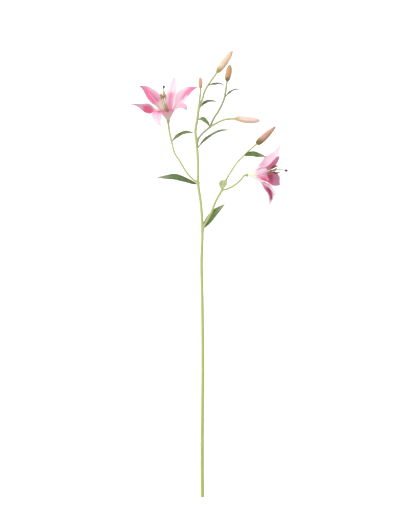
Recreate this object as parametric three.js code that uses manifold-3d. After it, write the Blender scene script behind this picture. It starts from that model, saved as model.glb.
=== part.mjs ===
// Cut lily: one flowering stem with two open blooms, closed buds and leaves, lying on a flat surface.
// Millimetres, +Z up. +Y runs from the cut end towards the top of the stem. The origin is on the surface,
// under the middle of the plant. The stem rises a little from its cut end, and the plant rests on three
// low points: the cut end, the lowest tepals of the left bloom and the lowest tepals of the right bloom.

import * as THREE from 'three';
import { mergeVertices } from 'three/addons/utils/BufferGeometryUtils.js';
import Module from 'manifold-3d';

const wasm = await Module();
wasm.setup();

// Clearance between a piece and what it grows from.
const SEAT_GAP = 0.3;

// Stem and branches.
const CUT_END_RADIUS = 4.1;
const TOP_RADIUS = 2.9;
const BRANCH_RADIUS = 2.6;
const PEDICEL_RADIUS = 2.1;
const LIMB_SIDES = 10;
const LIMB_STEP = 13;
const CUT_END_HEIGHT = CUT_END_RADIUS * Math.cos(Math.PI / LIMB_SIDES);
const SWELLING_STRETCH = 1.4;
const SCAR_RADIUS = 2.4;
const SCAR_HEIGHTS = [125, 395, 454, 532];

// Receptacle, the short cone that a bloom grows on.
const RECEPTACLE_RADIUS = 4.7;
const RECEPTACLE_LENGTH = 7;

// Tepals: the petals and the sepals behind them.
const TEPAL_THICKNESS = 0.8;
const TEPAL_STATIONS = 13;
const TEPAL_STRIPS = 6;
const LAYER_OFFSET = 1.3;
const MIDRIB_DEPTH = 1.2;
const MARGIN_LAP = 1;
const MARGIN_GAP = 0.6;
const RUFFLE = 2.2;
const RUFFLE_WAVES = 2.3;

// Pistil and stamens.
const OVARY_RADIUS = 2.3;
const OVARY_LENGTH = 22;
const STYLE_RADIUS = 1.1;
const STIGMA_RADIUS = 3.4;
const STIGMA_LENGTH = 5;
const STAMEN_COUNT = 6;
const FILAMENT_RADIUS = 0.6;
const FILAMENT_FOOT = 5;
const ANTHER_RADIUS = 1.75;
const ANTHER_LENGTH = 18;

// Leaves.
const LEAF_THICKNESS = 0.7;
const LEAF_STATIONS = 12;
const LEAF_STRIPS = 4;
const LEAF_BASE_HALF_WIDTH = 1.5;
const LEAF_CHANNEL = 0.16;
const LEAF_RIPPLE = 0.09;
const LEAF_WAVES = 1.6;

const stemGreen = new THREE.MeshStandardMaterial({ color: 0xb2bb68, roughness: 0.6, metalness: 0 });
const leafGreen = new THREE.MeshStandardMaterial({ color: 0x5d7f3a, roughness: 0.55, metalness: 0 });
const petalPink = new THREE.MeshStandardMaterial({ color: 0xee8fbd, roughness: 0.6, metalness: 0 });
const budPeach = new THREE.MeshStandardMaterial({ color: 0xe8bd9e, roughness: 0.55, metalness: 0 });
const pistilGreen = new THREE.MeshStandardMaterial({ color: 0x9aa861, roughness: 0.5, metalness: 0 });
const filamentGreen = new THREE.MeshStandardMaterial({ color: 0xc3c58c, roughness: 0.5, metalness: 0 });
const antherBrown = new THREE.MeshStandardMaterial({ color: 0x8a5a36, roughness: 0.9, metalness: 0 });

const radians = THREE.MathUtils.degToRad;
const smooth = (from, to, x) => THREE.MathUtils.smoothstep(x, from, to);
const point = ([x, y, z]) => new THREE.Vector3(x, y, z);
const curveThrough = (points) => new THREE.CatmullRomCurve3(points.map(point));

function closedGeometry(vertices, triangles) {
  const geometry = new THREE.BufferGeometry();
  geometry.setAttribute('position', new THREE.Float32BufferAttribute(vertices.flatMap((v) => v.toArray()), 3));
  geometry.setIndex(triangles.flat());
  return geometry;
}

function toSolid(geometry) {
  const bare = new THREE.BufferGeometry();
  bare.setAttribute('position', geometry.getAttribute('position'));
  bare.setIndex(geometry.getIndex());
  const merged = mergeVertices(bare, 1e-4);
  return new wasm.Manifold(new wasm.Mesh({
    numProp: 3,
    vertProperties: new Float32Array(merged.getAttribute('position').array),
    triVerts: new Uint32Array(merged.getIndex().array),
  }));
}

function toGeometry(solid) {
  const mesh = solid.getMesh();
  const geometry = new THREE.BufferGeometry();
  geometry.setAttribute('position', new THREE.BufferAttribute(mesh.vertProperties, 3));
  geometry.setIndex(new THREE.BufferAttribute(mesh.triVerts, 1));
  return geometry;
}

function named(name, geometry, material) {
  const mesh = new THREE.Mesh(geometry, material);
  mesh.name = name;
  return mesh;
}

// Round body along a curve. radiusAt(along, around) gives its radius, along from 0 to 1 and around in radians.
function loft(curve, rings, sides, radiusAt) {
  const vertices = [];
  const triangles = [];
  for (let ring = 0; ring <= rings; ring += 1) {
    const along = ring / rings;
    const centre = curve.getPointAt(along);
    const tangent = curve.getTangentAt(along);
    const side = new THREE.Vector3().crossVectors(tangent, new THREE.Vector3(0, 0, 1)).normalize();
    const up = new THREE.Vector3().crossVectors(side, tangent);
    for (let corner = 0; corner < sides; corner += 1) {
      const around = (2 * Math.PI * corner) / sides;
      const radius = radiusAt(along, around);
      vertices.push(centre.clone()
        .addScaledVector(side, radius * Math.cos(around))
        .addScaledVector(up, radius * Math.sin(around)));
      if (ring < rings) {
        const next = (corner + 1) % sides;
        const low = ring * sides;
        const high = low + sides;
        triangles.push([low + corner, high + corner, high + next], [low + corner, high + next, low + next]);
      }
    }
  }
  const start = vertices.push(curve.getPointAt(0)) - 1;
  const end = vertices.push(curve.getPointAt(1)) - 1;
  for (let corner = 0; corner < sides; corner += 1) {
    const next = (corner + 1) % sides;
    triangles.push([start, corner, next], [end, rings * sides + next, rings * sides + corner]);
  }
  return closedGeometry(vertices, triangles);
}

// Thin blade. Each station holds a centre, its side and face directions, the widths on both sides of the
// midrib, the bend across the blade and a list of heights, one for each column from margin to margin.
function blade(stations, strips, thickness) {
  const columns = strips + 1;
  const upper = [];
  const lower = [];
  for (const { centre, side, face, widths, bend, heights } of stations) {
    for (let column = 0; column < columns; column += 1) {
      const s = (2 * column) / strips - 1;
      const across = s * widths[s < 0 ? 0 : 1];
      const angle = bend * across;
      const sideways = Math.abs(angle) < 1e-4 ? across : Math.sin(angle) / bend;
      const rise = (Math.abs(angle) < 1e-4 ? 0 : (1 - Math.cos(angle)) / bend) + heights[column];
      const middle = centre.clone().addScaledVector(side, sideways).addScaledVector(face, rise);
      const normal = face.clone().multiplyScalar(Math.cos(angle)).addScaledVector(side, -Math.sin(angle));
      upper.push(middle.clone().addScaledVector(normal, thickness / 2));
      lower.push(middle.clone().addScaledVector(normal, -thickness / 2));
    }
  }
  const below = upper.length;
  const last = stations.length - 1;
  const triangles = [];
  for (let row = 0; row < last; row += 1) {
    for (let column = 0; column < strips; column += 1) {
      const a = row * columns + column;
      const b = a + columns;
      const c = b + 1;
      const d = a + 1;
      triangles.push([a, b, c], [a, c, d]);
      triangles.push([below + a, below + c, below + b], [below + a, below + d, below + c]);
    }
    const near = row * columns;
    const far = near + strips;
    triangles.push([near, below + near, below + near + columns]);
    triangles.push([near, below + near + columns, near + columns]);
    triangles.push([far, below + far + columns, below + far], [far, far + columns, below + far + columns]);
  }
  for (let column = 0; column < strips; column += 1) {
    const base = column;
    const tip = last * columns + column;
    triangles.push([base, base + 1, below + base + 1], [base, below + base + 1, below + base]);
    triangles.push([tip, below + tip + 1, tip + 1], [tip, below + tip, below + tip + 1]);
  }
  return closedGeometry([...upper, ...lower], triangles);
}

// Outline of a blade: rises from a narrow base to its full half width and runs out to a pointed tip.
function outline(along, halfWidth, baseRise, tipTaper) {
  const start = 0.03;
  const shape = (x) => (x + start) ** baseRise * (1 - x) ** tipTaper;
  const widest = (baseRise - start * tipTaper) / (baseRise + tipTaper);
  return Math.max(0.4, (halfWidth * shape(along)) / shape(widest));
}

// The part of every tepal that makes the funnel, as distance from the bloom's axis and height along it.
const FUNNEL = [[3, 3 * SEAT_GAP], [5.4, 6], [12, 17.5], [19.5, 28]];

// A tepal in its bloom's frame: the axis is +Z and the mouth faces up. turn is its place round the axis. rise and
// taper set how slowly its outline grows and runs out to the tip, and skew makes one side broader. twist turns
// the blade about its midrib, at its middle and at its tip, and sweep carries the tip sideways. shares are half
// the angles to its two neighbours: in the funnel the tepal fills them and laps its neighbours a little, and
// further out it stays between them.
function tepal(shape, shares) {
  const { turn, outer, halfWidth, reach, wave, rise = 0.8, taper, skew = 0, twist = [0, 0], sweep = 0 } = shape;
  const radial = new THREE.Vector3(Math.cos(radians(turn)), Math.sin(radians(turn)), 0);
  const axis = new THREE.Vector3(0, 0, 1);
  const around = new THREE.Vector3().crossVectors(axis, radial);
  const midrib = new THREE.SplineCurve([...FUNNEL, ...reach].map(([r, h]) => new THREE.Vector2(r, h)));
  const stations = [];
  for (let station = 0; station <= TEPAL_STATIONS; station += 1) {
    const along = station / TEPAL_STATIONS;
    const at = midrib.getPointAt(along);
    const tangent = midrib.getTangentAt(along);
    const flatFace = radial.clone().multiplyScalar(-tangent.y).addScaledVector(axis, tangent.x);
    const centre = radial.clone().multiplyScalar(at.x).addScaledVector(axis, at.y);
    if (outer) centre.addScaledVector(flatFace, -LAYER_OFFSET);
    centre.addScaledVector(around, sweep * smooth(0.35, 1.25, along));
    const distance = centre.dot(radial);
    const turned = radians(twist[0] * smooth(0.3, 0.6, along) + (twist[1] - twist[0]) * smooth(0.6, 0.95, along));
    const side = around.clone().multiplyScalar(Math.cos(turned)).addScaledVector(flatFace, Math.sin(turned));
    const face = flatFace.clone().multiplyScalar(Math.cos(turned)).addScaledVector(around, -Math.sin(turned));
    const heights = [];
    for (let column = 0; column <= TEPAL_STRIPS; column += 1) {
      const s = (2 * column) / TEPAL_STRIPS - 1;
      const groove = -MIDRIB_DEPTH * Math.max(0, 1 - 3 * Math.abs(s)) * smooth(0.05, 0.3, along);
      const phase = 2 * Math.PI * (RUFFLE_WAVES * along + wave) + (s > 0 ? 0 : 2);
      const wavy = RUFFLE * Math.abs(s) ** 3 * Math.sin(phase) * smooth(0.35, 0.55, along) * (1 - along ** 3);
      heights.push(groove + wavy);
    }
    const lap = THREE.MathUtils.lerp(MARGIN_LAP, -MARGIN_GAP, smooth(13, 19, distance));
    const free = outline(along, halfWidth, rise, taper);
    const sides = [free * (1 + skew), free * (1 - skew)];
    stations.push({
      centre,
      side,
      face,
      widths: shares.map((share, index) => Math.min(sides[index], distance * radians(share) + lap)),
      bend: Math.max(0, tangent.y) / distance,
      heights,
    });
  }
  return blade(stations, TEPAL_STRIPS, TEPAL_THICKNESS);
}

// Ovary, style and three-lobed stigma, grown as one along a curve in the bloom's frame.
function pistil(curve) {
  const length = curve.getLength();
  const stigmaStart = 1 - STIGMA_LENGTH / length;
  const radiusAt = (along, around) => {
    const onOvary = 1 - smooth(0.75, 1.25, (along * length) / OVARY_LENGTH);
    const onStigma = smooth(stigmaStart - 0.04, stigmaStart + 0.01, along);
    const foot = 0.75 + 0.25 * smooth(0, 0.06, along);
    const lobes = 0.8 + 0.2 * Math.cos(3 * around);
    const shaft = (STYLE_RADIUS + onOvary * (OVARY_RADIUS - STYLE_RADIUS)) * foot;
    return shaft + onStigma * (STIGMA_RADIUS - STYLE_RADIUS) * lobes;
  };
  return loft(curve, 22, 9, radiusAt);
}

// Filament and anther of one stamen, which follows the pistil. The filament's tip ends beside the anther, a
// quarter of the way along it, and lean is the anther's angle to the filament.
function stamen(pistilCurve, { turn, spread, height, lean }) {
  const axis = new THREE.Vector3(0, 0, 1);
  const radial = new THREE.Vector3(Math.cos(radians(turn)), Math.sin(radians(turn)), 0);
  const pistilLength = pistilCurve.getLength();
  const at = (r, h) => pistilCurve.getPointAt(h / pistilLength).addScaledVector(radial, r);
  const foot = OVARY_RADIUS + FILAMENT_RADIUS + SEAT_GAP;
  const path = new THREE.CatmullRomCurve3([
    at(foot, FILAMENT_FOOT),
    at(foot + 0.15 * spread, 0.3 * height),
    at(foot + 0.45 * spread, 0.7 * height),
    at(foot + spread, height),
  ]);
  const filament = loft(path, 7, 5, (along) => FILAMENT_RADIUS * (1 - 0.3 * along));
  const tip = path.getPointAt(1);
  const forward = path.getTangentAt(1);
  const sideways = new THREE.Vector3().crossVectors(axis, radial);
  const tilt = radians(lean);
  const beside = tip.clone().addScaledVector(sideways, 0.9 * ANTHER_RADIUS + FILAMENT_RADIUS + SEAT_GAP);
  const along = forward.clone().multiplyScalar(Math.cos(tilt)).addScaledVector(sideways, Math.sin(tilt));
  const spine = new THREE.CatmullRomCurve3([-0.5, 0, 0.5].map((part) => beside.clone()
    .addScaledVector(along, (part + 0.25) * ANTHER_LENGTH)
    .addScaledVector(radial, -6 * part * part)));
  const radiusAt = (u, around) => ANTHER_RADIUS * (0.25 + 0.75 * Math.sin(Math.PI * u) ** 0.6)
    * (1 + 0.12 * Math.cos(2 * around));
  return { filament, anther: loft(spine, 6, 6, radiusAt) };
}

// A bloom in its own frame, then turned to its heading in plan and lifted from the surface. It comes down
// until its lowest tepal touches the surface, which sets the height of its base.
function bloom(name, { base, heading, lift, tepals, sway, stamens }) {
  const group = new THREE.Group();
  const angleTo = (from, to) => (to.turn - from.turn + 720) % 360;
  tepals.forEach((shape, index) => {
    const previous = tepals[(index + tepals.length - 1) % tepals.length];
    const next = tepals[(index + 1) % tepals.length];
    const shares = [angleTo(previous, shape) / 2, angleTo(shape, next) / 2];
    group.add(named(`${name}_tepal_${index + 1}`, tepal(shape, shares), petalPink));
  });
  const pistilCurve = curveThrough([[0, 0, SEAT_GAP], [0, 0, OVARY_LENGTH], ...sway]);
  group.add(named(`${name}_pistil`, pistil(pistilCurve), pistilGreen));
  for (let index = 0; index < STAMEN_COUNT; index += 1) {
    const { filament, anther } = stamen(pistilCurve, stamens(index));
    group.add(named(`${name}_filament_${index + 1}`, filament, filamentGreen));
    group.add(named(`${name}_anther_${index + 1}`, anther, antherBrown));
  }
  const plan = new THREE.Vector3(Math.cos(radians(heading)), Math.sin(radians(heading)), 0);
  const up = new THREE.Vector3(0, 0, 1);
  const axis = plan.clone().applyAxisAngle(new THREE.Vector3().crossVectors(plan, up), radians(lift));
  const right = new THREE.Vector3().crossVectors(plan, up);
  const down = new THREE.Vector3().crossVectors(axis, right);
  group.quaternion.setFromRotationMatrix(new THREE.Matrix4().makeBasis(right, down, axis));
  group.position.set(base[0], base[1], 0);
  group.updateMatrixWorld(true);
  group.position.z = -new THREE.Box3().setFromObject(group, true).min.z;
  group.updateMatrixWorld(true);
  return { group, axis };
}

// Each tepal's reach goes on from the funnel to its tip, as distance from the axis and height along it.
const left = bloom('left', {
  base: [-80.7, 888.6],
  heading: 95,
  lift: 20,
  tepals: [
    {
      turn: 18, outer: true, halfWidth: 15, taper: 0.85, skew: -0.3,
      reach: [[32, 40], [47, 55], [62, 65], [80, 69]],
      wave: 0.4, twist: [52, 20],
    },
    {
      turn: 72, outer: false, halfWidth: 11.5, taper: 0.75,
      reach: [[30, 42], [42, 60], [53, 75], [62, 88]],
      wave: 0, twist: [0, 10], sweep: -7,
    },
    {
      turn: 140, outer: true, halfWidth: 17.5, taper: 1.1, skew: 0.2,
      reach: [[33, 43], [49, 60], [65, 72], [81, 76]],
      wave: 0.2, twist: [-25, -35],
    },
    {
      turn: 192, outer: false, halfWidth: 15, rise: 1.6, taper: 2.5, skew: -0.1,
      reach: [[34, 34], [54, 42], [76, 52], [98, 55]],
      wave: 0.6, twist: [-62, -50],
    },
    {
      turn: 240, outer: true, halfWidth: 17, taper: 1.2, skew: 0.35,
      reach: [[31, 34], [45, 33], [56, 23], [56, 9], [46, -1]],
      wave: 0.1, sweep: 16,
    },
    {
      turn: 314, outer: false, halfWidth: 15, taper: 0.75,
      reach: [[33, 38], [49, 45], [61, 44], [66, 37]],
      wave: 0.8, twist: [12, 12],
    },
  ],
  sway: [[-5, 2, 42], [-6, 3, 64], [-2.5, 2, 87]],
  stamens: (index) => ({
    turn: 20 + 60 * index,
    spread: 1.8 + 0.6 * Math.cos(2.1 * index),
    height: 57 + 3 * Math.cos(1.7 * index),
    lean: 11 + 3 * Math.sin(2.3 * index),
  }),
});

const right = bloom('right', {
  base: [106.4, 760.3],
  heading: 6,
  lift: 12,
  tepals: [
    {
      turn: 14, outer: true, halfWidth: 14, taper: 0.9,
      reach: [[33, 40], [46, 47], [62, 48], [75, 43], [82, 38]],
      wave: 0.5, twist: [28, 20],
    },
    {
      turn: 66, outer: false, halfWidth: 21, taper: 0.65, skew: -0.12,
      reach: [[31, 43], [45, 57], [56, 65], [64, 62]],
      wave: 0.9,
    },
    {
      turn: 126, outer: true, halfWidth: 15, taper: 0.75, skew: 0.15,
      reach: [[31, 43], [45, 58], [55, 68], [62, 72]],
      wave: 0.2,
    },
    {
      turn: 202, outer: false, halfWidth: 12.8, taper: 0.9, skew: -0.5,
      reach: [[30, 43], [41, 60], [53, 78], [69, 92]],
      wave: 0.3, twist: [40, 40],
    },
    {
      turn: 279, outer: true, halfWidth: 15, taper: 0.85,
      reach: [[31, 41], [45, 55], [60, 59], [72, 49], [77, 38]],
      wave: 0.7, sweep: -9,
    },
    {
      turn: 324, outer: false, halfWidth: 14, taper: 0.85,
      reach: [[31, 43], [46, 57], [60, 66], [71, 69]],
      wave: 0.1, twist: [35, 35],
    },
  ],
  sway: [[-2, -1, 45], [-5, -1, 76], [0.5, -1, 97]],
  stamens: (index) => ({
    turn: 10 + 60 * index,
    spread: 4.2 + 1.4 * Math.cos(1.9 * index),
    height: 61 + 3 * Math.cos(2.6 * index),
    lean: 13 + 4 * Math.sin(1.3 * index + 1),
  }),
});

// Where the stem forks.
const FIRST_FORK = [0, 631, 34];
const LEFT_FORK = [-10.1, 741.5, 37.5];
const THIRD_FORK = [-12.5, 826, 41];
const TOP_FORK = [-8.2, 919, 45];
const LOWER_NODE = [46.4, 725, 40];
const UPPER_NODE = [18.1, 873.3, 48];

// A pedicel enters its bloom along the bloom's axis.
function entry({ group, axis }) {
  const before = (distance) => group.position.clone().addScaledVector(axis, -distance).toArray();
  return [before(RECEPTACLE_LENGTH), before(1)];
}

const limbs = [
  {
    radii: [CUT_END_RADIUS, TOP_RADIUS],
    route: [
      [0, 0, CUT_END_HEIGHT], [-0.5, 106, 9.2], [1.2, 318, 19.6], [-0.2, 466, 26.6], [-1.9, 551, 30.5],
      FIRST_FORK,
      [-3.3, 690, 36], LEFT_FORK, [-10.1, 784, 39.4], THIRD_FORK, [-16, 866, 42.8], [-12, 890, 43.8], TOP_FORK,
    ],
  },
  {
    radii: [PEDICEL_RADIUS, PEDICEL_RADIUS],
    route: [
      LEFT_FORK, [-24.2, 752.1, 38], [-38.4, 768.6, 37], [-52.5, 792.1, 35], [-65.4, 812.1, 32.5],
      [-72.2, 838, 29], [-77.5, 862, 26], ...entry(left),
    ],
  },
  {
    radii: [BRANCH_RADIUS, BRANCH_RADIUS],
    route: [FIRST_FORK, [8.7, 650, 35.5], [20.5, 671, 37], [31, 697, 38.5], LOWER_NODE],
  },
  {
    radii: [PEDICEL_RADIUS, PEDICEL_RADIUS],
    route: [LOWER_NODE, [58.1, 727.2, 40], [76, 736.5, 39], [91, 749.5, 38], ...entry(right)],
  },
  {
    name: 'right_bud',
    radii: [PEDICEL_RADIUS, 1.8],
    route: [
      LOWER_NODE, [55.8, 748.6, 42], [69.9, 772, 44.5], [84, 792, 47], [103, 811, 49.5],
      [128, 833.3, 52],
    ],
  },
  {
    radii: [PEDICEL_RADIUS, PEDICEL_RADIUS],
    route: [THIRD_FORK, [-9.3, 845, 43.5], [-0.7, 856.4, 45.5], UPPER_NODE],
  },
  {
    name: 'upper_right_bud',
    radii: [PEDICEL_RADIUS, PEDICEL_RADIUS],
    route: [
      UPPER_NODE, [25.2, 889.8, 50.5], [39.3, 912.2, 54], [49.9, 934.5, 57], [54.6, 955.7, 59],
      [58.1, 980.4, 60.5],
    ],
  },
  {
    name: 'level_bud',
    radii: [PEDICEL_RADIUS, PEDICEL_RADIUS],
    route: [UPPER_NODE, [37, 884, 49.5], [55.8, 891, 50], [76.5, 892.2, 49.5]],
  },
  {
    name: 'small_bud',
    radii: [PEDICEL_RADIUS, PEDICEL_RADIUS],
    route: [TOP_FORK, [-6.4, 937, 46.5], [-4.2, 956, 48.5], [-4.2, 964, 49.5]],
  },
  {
    name: 'top_bud',
    radii: [PEDICEL_RADIUS, PEDICEL_RADIUS],
    route: [TOP_FORK, [-0.2, 937, 47], [5.2, 956, 50], [13.4, 971, 52.5], [27.5, 991, 55.5], [34.6, 1001, 57]],
  },
].map((limb) => ({ ...limb, curve: curveThrough(limb.route) }));

const radiusOf = ({ radii }, along) => THREE.MathUtils.lerp(radii[0], radii[1], along);

function limbGeometry(limb) {
  const rings = Math.ceil(limb.curve.getLength() / LIMB_STEP);
  const sides = limb.radii[0] > BRANCH_RADIUS ? LIMB_SIDES : LIMB_SIDES - 2;
  return loft(limb.curve, rings, sides, (along) => radiusOf(limb, along));
}

function receptacle({ group }) {
  const profile = [[0, -RECEPTACLE_LENGTH - 2], [PEDICEL_RADIUS - 0.2, -RECEPTACLE_LENGTH - 2],
    [PEDICEL_RADIUS + 0.3, -RECEPTACLE_LENGTH], [0.7 * RECEPTACLE_RADIUS, -3], [RECEPTACLE_RADIUS, 0], [0, 0]];
  const cone = new THREE.LatheGeometry(profile.map(([r, h]) => new THREE.Vector2(r, h)), 12);
  return cone.rotateX(Math.PI / 2).applyMatrix4(group.matrixWorld);
}

// Low bumps where leaves were stripped from the bare stem, on alternate sides.
function scar(height, index) {
  const main = limbs[0];
  const along = height / main.curve.getLength();
  const centre = main.curve.getPointAt(along);
  const offset = (index % 2 ? 1 : -1) * (radiusOf(main, along) - 0.55 * SCAR_RADIUS);
  const bump = new THREE.SphereGeometry(SCAR_RADIUS, 6, 4).scale(0.8, 1.5, 0.8);
  return bump.translate(centre.x + offset, centre.y, centre.z);
}

// Swellings where the stem forks.
const swellings = [
  { fork: FIRST_FORK, radius: 4.4 },
  { fork: LEFT_FORK, radius: 4 },
  { fork: THIRD_FORK, radius: 3.9 },
  { fork: TOP_FORK, radius: 3.4 },
  { fork: LOWER_NODE, radius: 3 },
  { fork: UPPER_NODE, radius: 2.7 },
];

function swelling({ fork, radius }) {
  return new THREE.SphereGeometry(radius, 8, 6).scale(1, SWELLING_STRETCH, 1).translate(...fork);
}

const stemParts = [
  ...limbs.map(limbGeometry),
  receptacle(left),
  receptacle(right),
  ...SCAR_HEIGHTS.map(scar),
  ...swellings.map(swelling),
];
const stem = stemParts.map(toSolid).reduce((whole, piece) => whole.add(piece));

// A bud in three joined lobes, seated on the end of its pedicel and running on to its tip.
function bud({ curve }, { tip, width, rise = 0.5, taper, bow = 0 }) {
  const foot = curve.getPointAt(1);
  const outward = curve.getTangentAt(1);
  const start = foot.clone().addScaledVector(outward, SEAT_GAP);
  const end = point(tip);
  const middle = start.clone().lerp(end, 0.5);
  const across = new THREE.Vector3(start.y - end.y, end.x - start.x, 0).normalize();
  const spine = new THREE.CatmullRomCurve3([
    start,
    start.clone().addScaledVector(outward, 0.15 * start.distanceTo(end)),
    middle.addScaledVector(across, bow),
    end,
  ]);
  const shape = (u) => (u + 0.04) ** rise * (1.012 - u) ** taper;
  const widest = (1.012 * rise - 0.04 * taper) / (rise + taper);
  const radiusAt = (along, around) => (
    (width / 2) * (shape(along) / shape(widest)) * (1 + 0.05 * Math.cos(3 * around)));
  return loft(spine, 9, 12, radiusAt);
}

const budShapes = {
  top_bud: { tip: [71.1, 1051.5, 63], width: 16.5, taper: 0.6 },
  upper_right_bud: { tip: [64.7, 1018.6, 63], width: 15, taper: 0.5 },
  small_bud: { tip: [-4.9, 990, 52.5], width: 10, taper: 0.5 },
  level_bud: { tip: [135.8, 888.2, 45], width: 16, taper: 0.5 },
  right_bud: { tip: [172.8, 874.5, 58], width: 16, rise: 0.38, taper: 0.75 },
};
const buds = Object.entries(budShapes).map(([name, shape]) => (
  named(name, bud(limbs.find((limb) => limb.name === name), shape), budPeach)));

const stalkPoints = limbs.flatMap((limb) => limb.curve.getSpacedPoints(300).map((at, index) => (
  { at, radius: radiusOf(limb, index / 300) })));
const fromSwelling = (place, { fork, radius }) => (
  place.clone().sub(point(fork)).divide(new THREE.Vector3(1, SWELLING_STRETCH, 1)).length() - radius);
const clearance = (place) => Math.min(
  ...stalkPoints.map(({ at, radius }) => at.distanceTo(place) - radius),
  ...swellings.map((bump) => fromSwelling(place, bump)),
);

// A leaf along its midrib, which starts on the centre line of what carries it. roll turns the blade about the
// midrib, from its value at the base to its value at the tip. The blade begins where its base clears the stalk.
function leaf({ midrib, width, roll, wave = 1 }) {
  const curve = curveThrough(midrib);
  const length = curve.getLength();
  const first = curve.getPointAt(0);
  const heading = curve.getPointAt(1).sub(first).setZ(0).normalize();
  const leftward = new THREE.Vector3(0, 0, 1).cross(heading);
  const frameAt = (along) => {
    const tangent = curve.getTangentAt(along);
    const side = leftward.clone().addScaledVector(tangent, -leftward.dot(tangent)).normalize();
    const face = new THREE.Vector3().crossVectors(tangent, side);
    const turn = radians(THREE.MathUtils.lerp(roll[0], roll[1], along));
    return {
      centre: curve.getPointAt(along),
      side: side.clone().multiplyScalar(Math.cos(turn)).addScaledVector(face, Math.sin(turn)),
      face: face.clone().multiplyScalar(Math.cos(turn)).addScaledVector(side, -Math.sin(turn)),
    };
  };
  let start = 0;
  const baseClear = () => {
    const ends = [start, start + 1.5 * LEAF_BASE_HALF_WIDTH / length].map(frameAt);
    const corners = ends.flatMap(({ centre, side }) => (
      [-1, 0, 1].map((s) => centre.clone().addScaledVector(side, s * LEAF_BASE_HALF_WIDTH))));
    return Math.min(...corners.map(clearance)) - LEAF_THICKNESS / 2;
  };
  while (baseClear() < SEAT_GAP) start += 0.1 / length;
  const stations = [];
  for (let station = 0; station <= LEAF_STATIONS; station += 1) {
    const u = station / LEAF_STATIONS;
    const along = THREE.MathUtils.lerp(start, 1, u);
    const broad = Math.max(LEAF_BASE_HALF_WIDTH * (1 - u), outline(u, width / 2, 0.7, 0.85));
    const heights = [];
    for (let column = 0; column <= LEAF_STRIPS; column += 1) {
      const s = (2 * column) / LEAF_STRIPS - 1;
      const phase = 2 * Math.PI * LEAF_WAVES * u + (s > 0 ? 0 : 1.7);
      const ripple = wave * LEAF_RIPPLE * width * s * s * Math.sin(phase) * smooth(0.1, 0.3, u);
      heights.push(LEAF_CHANNEL * broad * Math.abs(s) + ripple * (1 - u ** 4));
    }
    const half = station ? broad : LEAF_BASE_HALF_WIDTH;
    stations.push({ ...frameAt(along), widths: [half, half], bend: 0, heights });
  }
  return blade(stations, LEAF_STRIPS, LEAF_THICKNESS);
}

const leafShapes = [
  {
    midrib: [
      [-9.6, 737.5, 37.3], [-28, 744, 43], [-47.8, 751.5, 47], [-64.3, 755.6, 47], [-80.7, 755.2, 42],
      [-107.8, 754.7, 30],
    ],
    width: 15.5,
    roll: [35, 15],
  },
  {
    midrib: [
      [-72.4, 838.5, 29.5], [-66.6, 844.5, 33], [-59.6, 851.4, 38], [-50.1, 856.9, 42],
      [-38.4, 860.2, 44], [-19.5, 859.7, 43],
    ],
    width: 13,
    roll: [-48, -42],
  },
  {
    midrib: [
      [0, 629, 34], [7, 643, 27.5], [16.9, 657, 24.5], [27.5, 670.5, 24.5], [38.1, 680.3, 27],
      [53.4, 692.1, 31],
    ],
    width: 17,
    roll: [-15, 15],
  },
  {
    midrib: [LOWER_NODE, [46.5, 731, 45], [48.5, 740, 54], [52, 747, 65], [57.5, 748, 77]],
    width: 19,
    roll: [0, 20],
    wave: 0.5,
  },
  {
    midrib: [
      [94, 802.3, 48.2], [107.6, 808.6, 54], [119.3, 809.8, 61], [131.1, 807.9, 67],
      [140.5, 805.1, 70], [149.5, 802, 71],
    ],
    width: 14,
    roll: [30, 25],
  },
  {
    midrib: [
      [-12.3, 822, 41], [0.5, 837, 43.5], [8.7, 845.1, 45.5], [18.1, 852.1, 49], [41.7, 863.2, 54],
      [67.6, 866.7, 51],
    ],
    width: 13,
    roll: [-56, -62],
  },
  {
    midrib: [UPPER_NODE, [9.9, 885.1, 53], [2.8, 890.3, 56], [-4.2, 891, 57.5], [-13, 889.6, 57]],
    width: 13,
    roll: [35, 45],
  },
  {
    midrib: [
      [51.5, 938.5, 57.4], [55.8, 945.1, 59], [62.9, 952.9, 62], [69.9, 957.4, 64.5],
      [79.3, 960.4, 65], [91.1, 960.7, 62],
    ],
    width: 10,
    roll: [-58, -62],
  },
  {
    midrib: [
      [-8.3, 917, 45], [-1.9, 922.8, 47], [5.2, 929.8, 50], [13.4, 933.4, 52], [22.8, 933.4, 51],
      [35.8, 933.1, 46],
    ],
    width: 12,
    roll: [-45, -60],
  },
  {
    midrib: [
      [11.6, 968, 52], [18.1, 972.2, 52.5], [27.5, 973.9, 53.5], [38.1, 975.1, 53],
      [46.4, 972.7, 50.5], [54.6, 967.5, 46],
    ],
    width: 9.5,
    roll: [-50, -60],
  },
];

const lily = new THREE.Group();
lily.add(named('stem', toGeometry(stem), stemGreen));
lily.add(left.group, right.group, ...buds);
leafShapes.forEach((shape, index) => lily.add(named(`leaf_${index + 1}`, leaf(shape), leafGreen)));

lily.updateMatrixWorld(true);
const box = new THREE.Box3().setFromObject(lily, true);
const middle = box.getCenter(new THREE.Vector3());
lily.position.set(-middle.x, -middle.y, -box.min.z);

const group = new THREE.Group();
group.add(lily);
group.updateMatrixWorld(true);

export default group;
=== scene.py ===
"""Cut lily: a long bare stem with two open pink blooms, closed buds and leaves, lying on a pale floor."""

import math

import bpy
import numpy as np
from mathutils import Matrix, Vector, kdtree


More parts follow.
